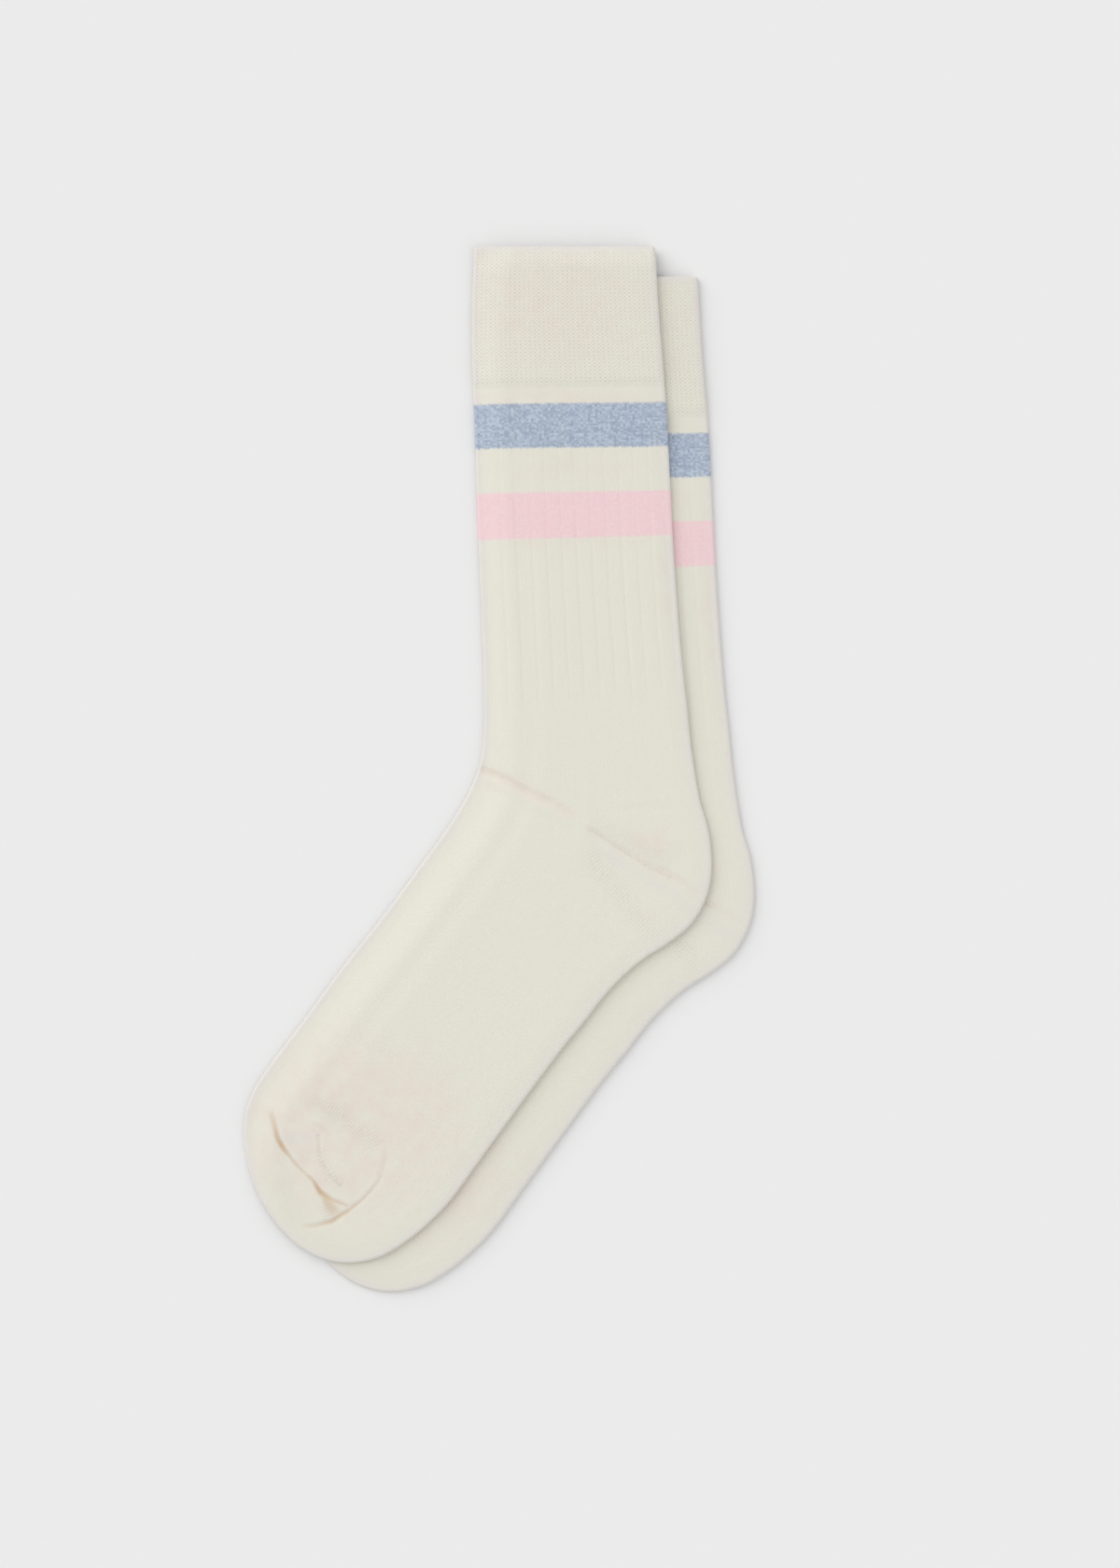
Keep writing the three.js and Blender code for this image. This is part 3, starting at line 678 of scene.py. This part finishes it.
def buildPiece(sock, piece):
    first, last = piece["from"], piece["to"]
    pocket = "turn" in piece
    isCuff = piece["part"] == "cuff"
    if isCuff:
        piece = {**piece, "from": cloth["cuffWall"] / 2 / cuffCourse}  # the rim stands out by half a wall
    places = rowPlaces(piece)
    columns = ringColumns(piece["waleStep"], pocket)
    layer = np.tile([float(column[0]) for column in columns], (len(places), 1))
    plan, across = planGrid(places, columns)

    wall = np.full(across.shape, cloth["knitWall"])
    if isCuff:
        left = (last - places) * cuffCourse
        thick = smooth(left / cloth["wallEases"])[:, None]
        wall = wall + (cloth["cuffWall"] - cloth["knitWall"]) * thick
    flat = plan.reshape(-1, 2)
    outer, inner, normal, creaseShade, blush = wallPoints(flat, layer.ravel(), wall.ravel(), sock["lift"],
                                                   sock["bulge"])
    shift = np.r_[sock["at"], 0]
    outer, inner = (side.reshape(*across.shape, 3) + shift for side in (outer, inner))

    ones = np.ones(across.shape)
    if pocket:
        byStart, byEnd = pocketStitches(plan, across, first, last)
    else:
        rows = np.interp(places, courseAt, courseNumber)[:, None] * ones
        byStart = byEnd = np.stack([walesFlat * across, rows], axis=2)
    byStart, byEnd = (
        np.stack([np.where(layer < 0, cloth["wales"] - n[..., 0], n[..., 0]), n[..., 1]], axis=2)
        for n in (byStart, byEnd)
    )
    turn = piece.get("turn", last + 1)
    stitches = []
    for i in range(len(places) - 1):
        side = byStart if (places[i] + places[i + 1]) / 2 < turn else byEnd
        stitches.append((side[i], side[i + 1]))

    edge = nearestFold(flat)[0]
    if isCuff:
        edge = np.minimum(edge, nearestOn(rimLine, flat)[0])
    openness, strokes = opennessAt(flat)
    values = {
        "wale": byStart[..., 0],
        "outward": normal,
        # painted crease shade
        "paintedCreaseShade": creaseShade,
        "openness": openness,
        "strokes": strokes,
        "warmth": np.maximum(warmthAt(flat), blush),
        # painted greyish-lilac edge shade and sheen near the folds and the rim, with the paler bands by the
        # gores
        "edgeLightAndPale": np.maximum(1 - smooth(edge / cloth["edgeLightReach"]), paleAt(flat)),
    }
    if piece["part"] == "leg":
        values["ribs"] = np.interp(places, *ribStrength)[:, None] * ones
    rimRows = rimRowsOf(outer, inner) if isCuff else []
    name = sock["name"] + piece["part"].capitalize()
    mesh = shellMesh(name, outer, inner, rimRows, stitches, values, pocket)
    made = newObject(name, mesh)
    cells = plan[:-1, :-1], plan[1:, :-1], plan[1:, 1:], plan[:-1, 1:]
    cross = np.cross(cells[2] - cells[0], cells[3] - cells[1])
    area = np.abs(cross).sum() / 2 * metre ** 2  # of both layers
    print("knitted", name, len(mesh.polygons), "faces")
    return made, area


# One output of a node. Arithmetic on it adds Math nodes to its tree.
class Wire:
    def __init__(self, board, socket):
        self.board = board
        self.socket = socket

    def maths(self, operation, *values):
        return self.board.node("ShaderNodeMath", {"operation": operation}, values)

    def __add__(self, other):
        return self.maths("ADD", self, other)

    __radd__ = __add__

    def __sub__(self, other):
        return self.maths("SUBTRACT", self, other)

    def __rsub__(self, other):
        return self.maths("SUBTRACT", other, self)

    def __mul__(self, other):
        return self.maths("MULTIPLY", self, other)

    __rmul__ = __mul__

    def __truediv__(self, other):
        return self.maths("DIVIDE", self, other)

    def cosine(self):
        return self.maths("COSINE", self)

    def fraction(self):
        return self.maths("FRACT", self)

    def whole(self):
        return self.maths("FLOOR", self)

    def nearest(self):
        return self.maths("ROUND", self)

    def size(self):
        return self.maths("ABSOLUTE", self)

    # 0 below low and 1 above high, eased between them
    def between(self, low, high):
        settings = {"interpolation_type": "SMOOTHSTEP"}
        return self.board.node("ShaderNodeMapRange", settings, [self, low, high, 0, 1])

    def output(self, key):
        return Wire(self.board, self.socket.node.outputs[key])


# Places nodes in a tree: a node's type, its settings, then the values or links of its sockets
class Board:
    def __init__(self, tree):
        self.tree = tree

    def node(self, kind, settings=None, values=(), output=0):
        made = self.tree.nodes.new(kind)
        for key, value in (settings or {}).items():
            setattr(made, key, value)
        for key, value in values.items() if isinstance(values, dict) else enumerate(values):
            if isinstance(value, Wire):
                self.tree.links.new(value.socket, made.inputs[key])
            else:
                made.inputs[key].default_value = value
        return Wire(self, made.outputs[output]) if made.outputs else None

    def colourMix(self, factor, one, other, blend="MIX"):
        settings = {"data_type": "RGBA", "blend_type": blend}
        return self.node("ShaderNodeMix", settings, {0: factor, 6: one, 7: other}, output=2)

    def noise(self, place, scale, detail, roughness, output="Fac"):
        values = {"Vector": place, "Scale": scale, "Detail": detail, "Roughness": roughness}
        return self.node("ShaderNodeTexNoise", None, values, output)

    def random(self, number, dimensions="1D"):
        socket = "W" if dimensions == "1D" else "Vector"
        return self.node("ShaderNodeTexWhiteNoise", {"noise_dimensions": dimensions}, {socket: number})

    # A number or a vector that a piece keeps at its points
    def kept(self, key, kind="FLOAT"):
        return self.node("GeometryNodeInputNamedAttribute", {"data_type": kind}, {"Name": key})


look = {
    "cream": (0.741, 0.726, 0.635, 1),
    "creamWarm": (0.744, 0.671, 0.603, 1),
    "creamEdgeLightAndPale": (0.716, 0.681, 0.655, 1),  # painted greyish-lilac edge shade and sheen at the folds and the rim, and the paler bands by the gores
    # painted crease shade: the tan-brown that darkens the creases and the toe pit
    "fold": (0.585, 0.430, 0.280, 1),
    "mottle": 150,  # scale of the uneven cream
    "fluff": 900,  # scale of the loose fibres
    "fluffShade": 0.05,
    "waleShade": 0.007,  # how far one wale differs from the next
    "groove": 0.02,  # painted shade in the gap between two wales
    "openGroove": 0.06,  # and how much more painted shade there is where the stitches are pulled open
    "stroke": 0.09,  # painted shade in the sunken gaps between the strokes there, and painted light on the strokes
    "strokeDepth": 0.5,  # of the height of a stitch
    "stitchDepth": 0.16,
    "yarnFluff": 1500,  # scale and depth of the fibres on the crossing stitches
    "yarnFluffDepth": 0.05,
    "roughness": 0.93,
    "sheen": 0.12,
    "sheenRoughness": 0.5,
    "specular": 0.2,
}

# From and to are counted from the cuff's end. Uneven is how far one stitch differs from the next.
stripes = {
    "blue": {"from": 7.0, "to": 25.9, "dyeAndCreaseShade": (0.316, 0.402, 0.547, 1), "uneven": 0.3},
    "pink": {"from": 44.9, "to": 64.5, "dyeAndCreaseShade": (0.853, 0.581, 0.631, 1), "uneven": 0.03},
}

stripeLook = {
    "feather": 0.8,  # of a course, between the middle and the side of a stitch
    "waleFeather": 0.5,  # the same from wale to wale
    "blur": 0.8,
    "grooveCream": 0.3,  # how much cream shows in the gaps between the wales
    "waleCream": 0.08,  # and by how much more in some wales
    "stitchCream": 0.16,  # and in some stitches
}

# Holes of the mock mesh, two wales and two courses apart, with fainter ones between them. Each hole is
# painted with the shade that falls inside it.
mockMesh = {
    # painted shade inside a hole
    "colour": (0.480, 0.415, 0.350, 1),
    "edge": (0.4, 0.95),  # of the wave between two holes, where a hole begins and is full
    "strength": 0.65,
    "otherwise": 0.175,  # how much stronger and fainter every second one is
    "starts": (2, 4),  # courses from the rim
    "stops": (2.5, 1.5),  # courses from the cuff's end
    "scallop": 0.8,  # how far the last line of holes waves
    "depth": 0.7,  # of the height of a stitch
    "paintedShade": (0.3, 0.4),  # share of the painted hole shade in each stitch, and what the darkest have more
    "blend": 0.025,  # painted shade on each hole and painted highlight between two holes
    "uneven": 0.03,
}


def newMaterial(name):
    material = bpy.data.materials.new(name)
    material.use_nodes = True
    material.node_tree.nodes.clear()
    return material, Board(material.node_tree)


# The matt surface of cotton
def cottonSurface(board, colour, strength, depth, height):
    bump = board.node("ShaderNodeBump", None,
                      {"Strength": strength, "Distance": depth * metre, "Height": height})
    surface = board.node("ShaderNodeBsdfPrincipled", None, {
        "Base Color": colour, "Normal": bump, "Roughness": look["roughness"],
        "Sheen Weight": look["sheen"], "Sheen Roughness": look["sheenRoughness"],
        "Specular IOR Level": look["specular"],
    })
    board.node("ShaderNodeOutputMaterial", None, [surface])


# Knitted cloth. The stitches come from the map of wale and course numbers.
def knitMaterial(name, isCuff):
    material, board = newMaterial(name)
    cuffCourses = np.interp(cuffEnd, courseAt, courseNumber)

    def attribute(key):
        return board.node("ShaderNodeAttribute", {"attribute_name": key}, output="Fac")

    numbers = board.node("ShaderNodeUVMap", {"uv_map": "knit"})
    wale = board.node("ShaderNodeSeparateXYZ", None, [numbers])
    row = wale.output("Y")
    place = board.node("ShaderNodeTexCoord", output="Object")

    # A stitch is a V: two arms, each round across and leaning out from the middle of the wale
    half = ((wale.fraction() - 0.5) * 2).size()
    arm = half * (1 - half) * 4
    loop = ((row + half * 0.5) * math.tau).cosine() * 0.5 + 0.5
    yarn = arm * (0.55 + 0.45 * loop)
    openness = attribute("openness")
    height = yarn * (0.6 + 0.9 * openness)
    groove = 1 - arm

    mottle = board.noise(place, look["mottle"], 2.5, 0.55, "Color")
    mottle = board.node("ShaderNodeSeparateColor", None, [mottle])
    fluff = board.noise(place, look["fluff"], 2, 0.6)
    ply = board.random(wale.whole())
    stitch = board.node("ShaderNodeCombineXYZ", None, [wale.whole(), (row + half * 0.5).whole(), 0])
    stitch = board.random(stitch, "3D")

    warm = attribute("warmth") * (mottle * 1.4).between(0, 1.2) + (mottle - 0.5) * 0.5
    # painted greyish-lilac edge shade and sheen along the folds, with the paler bands by the gores
    edgeLightAndPale = attribute("edgeLightAndPale") * (mottle.output("Green") * 1.4).between(0, 1)
    colour = board.colourMix(warm, look["cream"], look["creamWarm"])
    colour = board.colourMix(edgeLightAndPale, colour, look["creamEdgeLightAndPale"])

    if isCuff:
        across = (wale * math.pi).cosine()
        down = (row * math.pi).cosine()
        started = row.between(*mockMesh["starts"])
        scallop = row + (wale * (math.pi / 2)).cosine() * mockMesh["scallop"]
        stopped = scallop.between(*(cuffCourses - left for left in mockMesh["stops"]))
        strength = mockMesh["strength"] + mockMesh["otherwise"] * (across + down)
        hole = (across * down).between(*mockMesh["edge"]) * strength * started * (1 - stopped)
        height = height - hole * mockMesh["depth"]
        least, more = mockMesh["paintedShade"]
        # painted shade inside the holes
        colour = board.colourMix(hole * (least + more * stitch), colour, mockMesh["colour"])
        # painted shade on the holes and painted highlight between them, with the stitches' uneven tone
        unevenToneAndMeshShade = across * down * started * -mockMesh["blend"] + (stitch - 0.5) * mockMesh["uneven"]
    else:
        edge = row + half * stripeLook["feather"] + (ply - 0.5) * stripeLook["waleFeather"]
        cream = stripeLook["grooveCream"] * groove
        byStitch = stripeLook["stitchCream"] * stitch * (1 - 0.5 * groove)
        blur = stripeLook["blur"]
        unevenToneAndMeshShade = 0
        for one in stripes.values():
            low, high = (cuffCourses + one[end] / cloth["coursePitch"] for end in ("from", "to"))
            within = edge.between(low - blur, low + blur) * (1 - edge.between(high - blur, high + blur))
            thin = within * (1 - cream - stripeLook["waleCream"] * ply - byStitch)
            colour = board.colourMix(thin, colour, one["dyeAndCreaseShade"])
            unevenToneAndMeshShade = unevenToneAndMeshShade + within * (stitch - 0.5) * one["uneven"]
    stroke = ((attribute("strokes") + (fluff - 0.5) * 0.3) * math.tau).cosine() * 0.5 + 0.5
    # painted shade in the gaps between the wales, more where the stitches are pulled open, and painted light
    # and shade across the strokes
    paintedShade = groove * (look["groove"] + look["openGroove"] * openness)
    paintedShade = paintedShade + (stroke - 0.8) * openness * look["stroke"]
    shade = 1 - paintedShade + (fluff - 0.5) * look["fluffShade"] + (ply - 0.5) * look["waleShade"] + unevenToneAndMeshShade
    height = height - stroke * openness * look["strokeDepth"]
    colour = board.colourMix(1, colour, board.node("ShaderNodeCombineColor", None, [shade] * 3), "MULTIPLY")
    # painted crease shade, mixed in deep in the creases and the toe pit
    colour = board.colourMix(attribute("paintedCreaseShade"), colour, look["fold"])

    cottonSurface(board, colour, 0.6, look["stitchDepth"], height + (fluff - 0.5) * 0.4)
    return material


# The yarn of single stitches that cross a gore
def yarnMaterial():
    material, board = newMaterial("stitch yarn")
    fluff = board.noise(board.node("ShaderNodeTexCoord", output="Object"), look["yarnFluff"], 2, 0.5)
    colour = board.colourMix(fluff.between(0.35, 0.65), look["cream"], look["creamWarm"])
    cottonSurface(board, colour, 0.5, look["yarnFluffDepth"], fluff)
    return material


# A piece's cut, all round: twice its widest half round, by its longest fold
def flatSize(piece, readings=60):
    front, middle, back = linesAt(np.linspace(piece["from"], piece["to"], readings))
    half = np.linalg.norm(back - middle, axis=1)
    if "turn" not in piece:
        half = half + np.linalg.norm(front - middle, axis=1)
    folds = [stepLengths(fold).sum() for fold in (front, back)]
    return 2 * half.max() * metre, max(folds) * metre


# A tree of Geometry Nodes with a geometry input, named inputs and their values
def geometryTree(name, inputs):
    tree = bpy.data.node_groups.new(name, "GeometryNodeTree")
    tree.interface.new_socket("Geometry", in_out="INPUT", socket_type="NodeSocketGeometry")
    for label, (kind, value) in inputs.items():
        socket = tree.interface.new_socket(label, in_out="INPUT", socket_type=kind)
        if kind != "NodeSocketMaterial":
            socket.default_value = value
    tree.interface.new_socket("Geometry", in_out="OUTPUT", socket_type="NodeSocketGeometry")
    board = Board(tree)
    return board, board.node("NodeGroupInput", output="Geometry")


def finishTree(board, geometry, material):
    geometry = board.node("GeometryNodeRealizeInstances", None, {"Geometry": geometry})
    geometry = board.node("GeometryNodeSetMaterial", None, {"Geometry": geometry, "Material": material})
    board.node("NodeGroupOutput", None, [geometry])
    return board.tree


# Runs a tree on an object and keeps the result as its plain mesh
def applyTree(made, tree, values):
    modifier = made.modifiers.new(tree.name, "NODES")
    modifier.node_group = tree
    for item in tree.interface.items_tree:
        if item.in_out == "INPUT" and item.name in values:
            modifier[item.identifier] = values[item.name]
    made.update_tag()
    view = bpy.context.evaluated_depsgraph_get()
    mesh = bpy.data.meshes.new_from_object(made.evaluated_get(view), depsgraph=view)
    made.modifiers.remove(modifier)
    old = made.data
    made.data = mesh
    bpy.data.meshes.remove(old)
    mesh.name = made.name
    return mesh


ribs = {
    "Wales in a rib": 6.0,
    "First groove": 3.5,  # in wales from the front fold
    "Groove half width": 0.8,  # in wales
    "Groove depth": 0.2 * metre,
    "Rib crown": 0.03 * metre,
    "Crown half width": 0.36,  # of a rib
}


# Sinks a groove between the ribs of the leg, into its outer side
def ribTree():
    inputs = {label: ("NodeSocketFloat", value) for label, value in ribs.items()}
    board, geometry = geometryTree("rib grooves", {**inputs, "Knit": ("NodeSocketMaterial", None)})
    count = (board.kept("wale") - geometry.output("First groove")) / geometry.output("Wales in a rib")
    away = (count - count.nearest()).size()
    width = geometry.output("Groove half width")
    share = 1 - (away * geometry.output("Wales in a rib") / width).between(0, 1)
    side = (away - 0.5).size().between(0, geometry.output("Crown half width"))
    move = (1 - side) * geometry.output("Rib crown") - share * geometry.output("Groove depth")
    move = move * board.kept("ribs") * board.kept("outerSide")
    offset = board.node("ShaderNodeVectorMath", {"operation": "SCALE"},
                        {"Vector": board.kept("outward", "FLOAT_VECTOR"), "Scale": move})
    moved = board.node("GeometryNodeSetPosition", None, {"Geometry": geometry, "Offset": offset})
    return finishTree(board, moved, geometry.output("Knit"))


stitchLook = {
    "Width": 1.5 * metre,
    "Height": 0.16 * metre,
    "Yarn radius": 0.15 * metre,
    "Uneven": 0.18,
    "Seed": 7,
}
stitchRoot = 1.2  # how deep its ends go into the cloth, in yarn radii
stitchPressed = 0.26  # how far the stitches underneath are pressed into the cloth
yarnSides = 5


# Lays a short bar of yarn across a line at each of its points
def stitchTree():
    inputs = {label: ("NodeSocketFloat", value) for label, value in stitchLook.items()}
    inputs["Seed"] = ("NodeSocketInt", stitchLook["Seed"])
    board, geometry = geometryTree("crossing stitches", {**inputs, "Yarn": ("NodeSocketMaterial", None)})
    width, height = geometry.output("Width"), geometry.output("Height")
    sink = geometry.output("Yarn radius") * -stitchRoot

    def corner(x, y, z):
        return board.node("ShaderNodeCombineXYZ", None, [x, y, z])

    bar = board.node("GeometryNodeCurveQuadraticBezier", None, {
        "Resolution": yarnSides, "Start": corner(0, width * -0.5, sink), "Middle": corner(0, 0, height * 2),
        "End": corner(0, width * 0.5, sink)})
    section = board.node("GeometryNodeCurvePrimitiveCircle", None,
                         {"Resolution": yarnSides, "Radius": geometry.output("Yarn radius")})
    bar = board.node("GeometryNodeCurveToMesh", None,
                     {"Curve": bar, "Profile Curve": section, "Fill Caps": True})
    directions = [board.kept(key, "FLOAT_VECTOR") for key in ("outward", "along")]
    turned = board.node("FunctionNodeAxesToRotation", {"primary_axis": "Z", "secondary_axis": "X"},
                        directions)
    uneven = geometry.output("Uneven")
    size = board.node("FunctionNodeRandomValue", {"data_type": "FLOAT"},
                      {2: 1 - uneven, 3: 1 + uneven, "Seed": geometry.output("Seed")}, output=1)
    points = board.node("GeometryNodeInstanceOnPoints", None,
                        {"Points": geometry, "Instance": bar, "Rotation": turned, "Scale": size})
    points = board.node("GeometryNodeSetShadeSmooth", None, {"Geometry": points})
    return finishTree(board, points, geometry.output("Yarn"))


# The gores that are stitched across: a path, the way from stitch to stitch and a stitch's width
stitchRows = [
    {"part": "heel", "path": [(48.4, -249.4), (53, -251.8), (62.2, -258), (75.6, -266.2), (84, -270.4)],
     "pitch": 1.35, "width": 1.5},
    {"part": "toe", "path": [(-65.8, -387), (-65.5, -390), (-63.4, -394.8), (-59.8, -399.4), (-57, -402)],
     "pitch": 1.5, "width": 3.2},
]


def buildStitches(sock, row, tree, yarn):
    line = smoothPath(row["path"])
    reached = np.r_[0, np.cumsum(stepLengths(line))]
    wanted = np.arange(row["pitch"] / 2, reached[-1], row["pitch"])
    plan = np.column_stack([np.interp(wanted, reached, line[:, k]) for k in (0, 1)])
    run = np.gradient(plan, axis=0)
    points, outwards, alongs = [], [], []
    for layer in (1, -1):
        wall = np.full(len(plan), cloth["knitWall"])
        outer, _, normal, *_ = wallPoints(plan, np.full(len(plan), float(layer)), wall, sock["lift"],
                                          sock["bulge"])
        pressed = 0 if layer > 0 else stitchPressed
        points.append(outer + np.r_[sock["at"], pressed])
        outwards.append(normal)
        alongs.append(np.column_stack([run, np.zeros(len(run))]))
    name = sock["name"] + row["part"].capitalize() + "Stitches"
    mesh = bpy.data.meshes.new(name)
    mesh.from_pydata((np.vstack(points) * metre).tolist(), [], [])
    for key, value in (("outward", outwards), ("along", alongs)):
        storeOnPoints(mesh, key, np.vstack(value))
    made = newObject(name, mesh)
    applyTree(made, tree, {**stitchLook, "Width": row["width"] * metre, "Yarn": yarn})
    print("stitched", name, len(made.data.polygons), "faces")
    return made


room = {
    "floor": (0.80, 0.80, 0.80, 1),
    "floorSize": 40,  # metres
    "floorRoughness": 0.9,
    "floorSpecular": 0.1,
    "fill": 0.55,
    "suns": [  # strength, the direction that the light comes from, and its softness in degrees
        {"name": "key", "strength": 1.85, "from": (-0.62, 0.50, 0.50), "softness": 60},
        {"name": "far side", "strength": 0.92, "from": (0.70, -0.35, 0.60), "softness": 80},
    ],
    "lens": 85,
    "sensor": 36,
    "seen": (480, 672),  # of the table, across and up
    "middle": (26.15, -6.2),
    "clothHeight": 4,
}


def buildRoom():
    half = room["floorSize"] / 2
    mesh = bpy.data.meshes.new("floor")
    corners = [(-half, -half, 0), (half, -half, 0), (half, half, 0), (-half, half, 0)]
    mesh.from_pydata(corners, [], [(0, 1, 2, 3)])
    floor = newObject("floor", mesh)
    material = bpy.data.materials.new("table")
    material.use_nodes = True
    shader = material.node_tree.nodes["Principled BSDF"]
    shader.inputs["Base Color"].default_value = room["floor"]
    shader.inputs["Roughness"].default_value = room["floorRoughness"]
    shader.inputs["Specular IOR Level"].default_value = room["floorSpecular"]
    mesh.materials.append(material)

    world = bpy.data.worlds.new("studio")
    world.use_nodes = True
    background = world.node_tree.nodes["Background"]
    background.inputs["Color"].default_value = (1, 1, 1, 1)
    background.inputs["Strength"].default_value = room["fill"]
    bpy.context.scene.world = world

    for one in room["suns"]:
        sun = newObject(one["name"], bpy.data.lights.new(one["name"], "SUN"))
        sun.data.energy = one["strength"]
        sun.data.angle = math.radians(one["softness"])
        sun.rotation_euler = Vector(one["from"]).to_track_quat("Z", "Y").to_euler()

    lens = bpy.data.cameras.new("camera")
    lens.lens = room["lens"]
    lens.sensor_width = room["sensor"]
    lens.clip_start = 10 * metre
    camera = newObject("camera", lens)
    height = room["seen"][1] / 2 * room["lens"] / (room["sensor"] / 2) + room["clothHeight"]
    camera.location = Vector((*room["middle"], height)) * metre
    bpy.context.scene.camera = camera
    bpy.context.scene.view_settings.view_transform = "Standard"
    return floor


floor = buildRoom()
print("room ready")

cuffKnit = knitMaterial("cuff knit", True)
plainKnit = knitMaterial("plain knit", False)
stitchYarn = yarnMaterial()
ribGrooves = ribTree()
crossing = stitchTree()
print("materials and node trees ready")

below = ["floor"]
for sock in socks:
    added = {row["part"]: buildStitches(sock, row, crossing, stitchYarn) for row in stitchRows}
    made = []
    for piece in pieces:
        knit, area = buildPiece(sock, piece)
        part = piece["part"]
        if part == "leg":
            applyTree(knit, ribGrooves, {**ribs, "Knit": plainKnit})
        else:
            knit.data.materials.append(cuffKnit if part == "cuff" else plainKnit)
        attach(knit, "root")
        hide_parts(sock["node"] + "_" + part)
        wide, long = flatSize(piece)
        made.append(knit)
    for row in added.values():
        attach(row, "root")
    below = below + [knit.name for knit in made]
